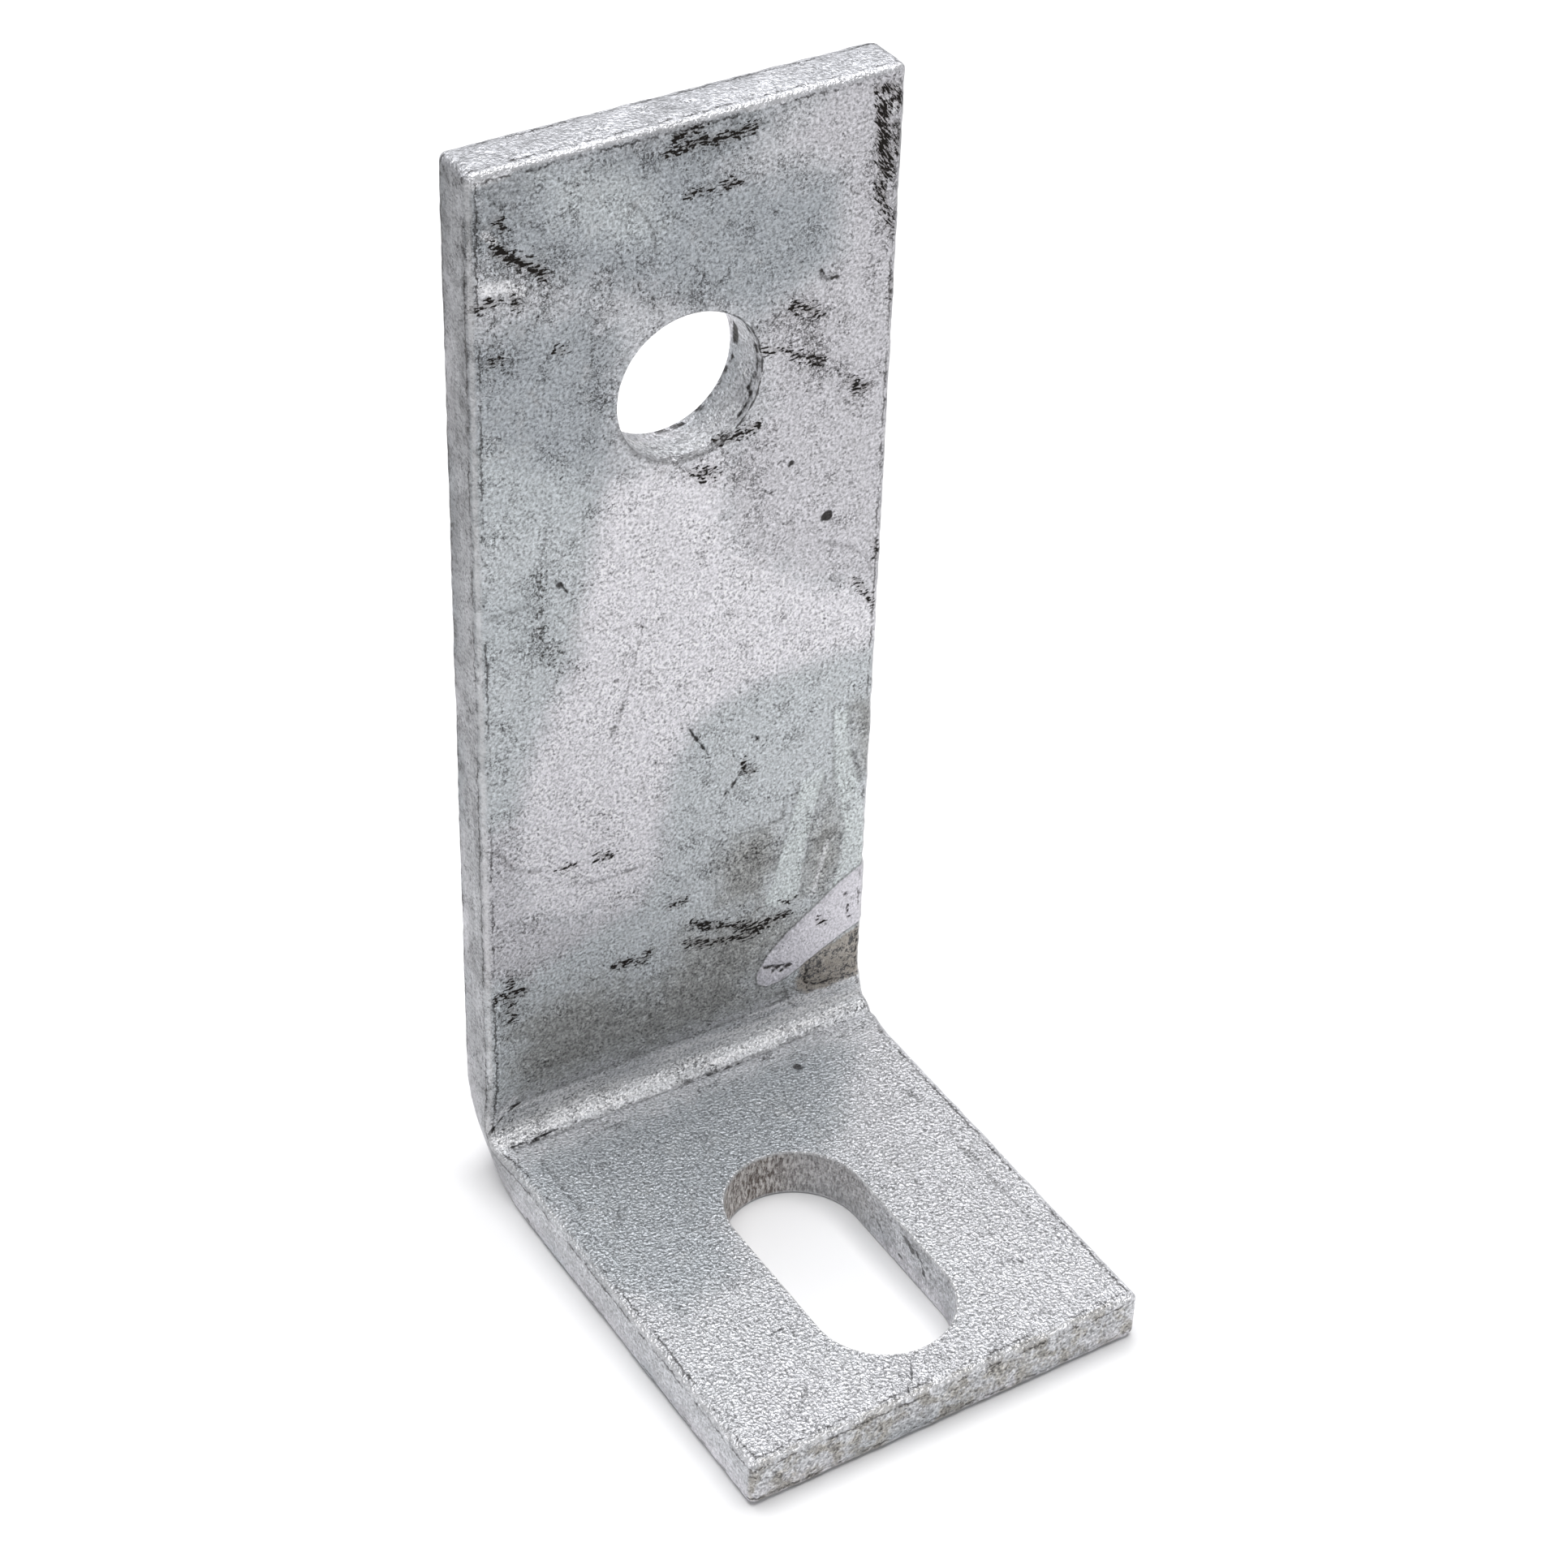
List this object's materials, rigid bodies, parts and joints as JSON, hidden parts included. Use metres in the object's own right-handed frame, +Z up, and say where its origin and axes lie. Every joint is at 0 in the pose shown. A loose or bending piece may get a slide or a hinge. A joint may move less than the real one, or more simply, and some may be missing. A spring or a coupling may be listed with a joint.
{
  "type": "angle bracket",
  "caption": "Folded flat-bar angle bracket in galvanised steel, with a round bolt hole in the tall leg and a slotted anchor hole in the short foot.",
  "frame": {"origin": "centre of the foot's slot, on the underside that bears on the structure", "axes": "+X across the bar, -Y from the heel towards the front end of the foot, +Z up the tall leg"},
  "size_m": [0.0408, 0.051, 0.104],
  "materials": {
    "galvanised_steel": "dull hot-dip zinc, mottled"
  },
  "bodies": {
    "root": {"angle_bracket": "galvanised_steel"}
  },
  "joints": []
}
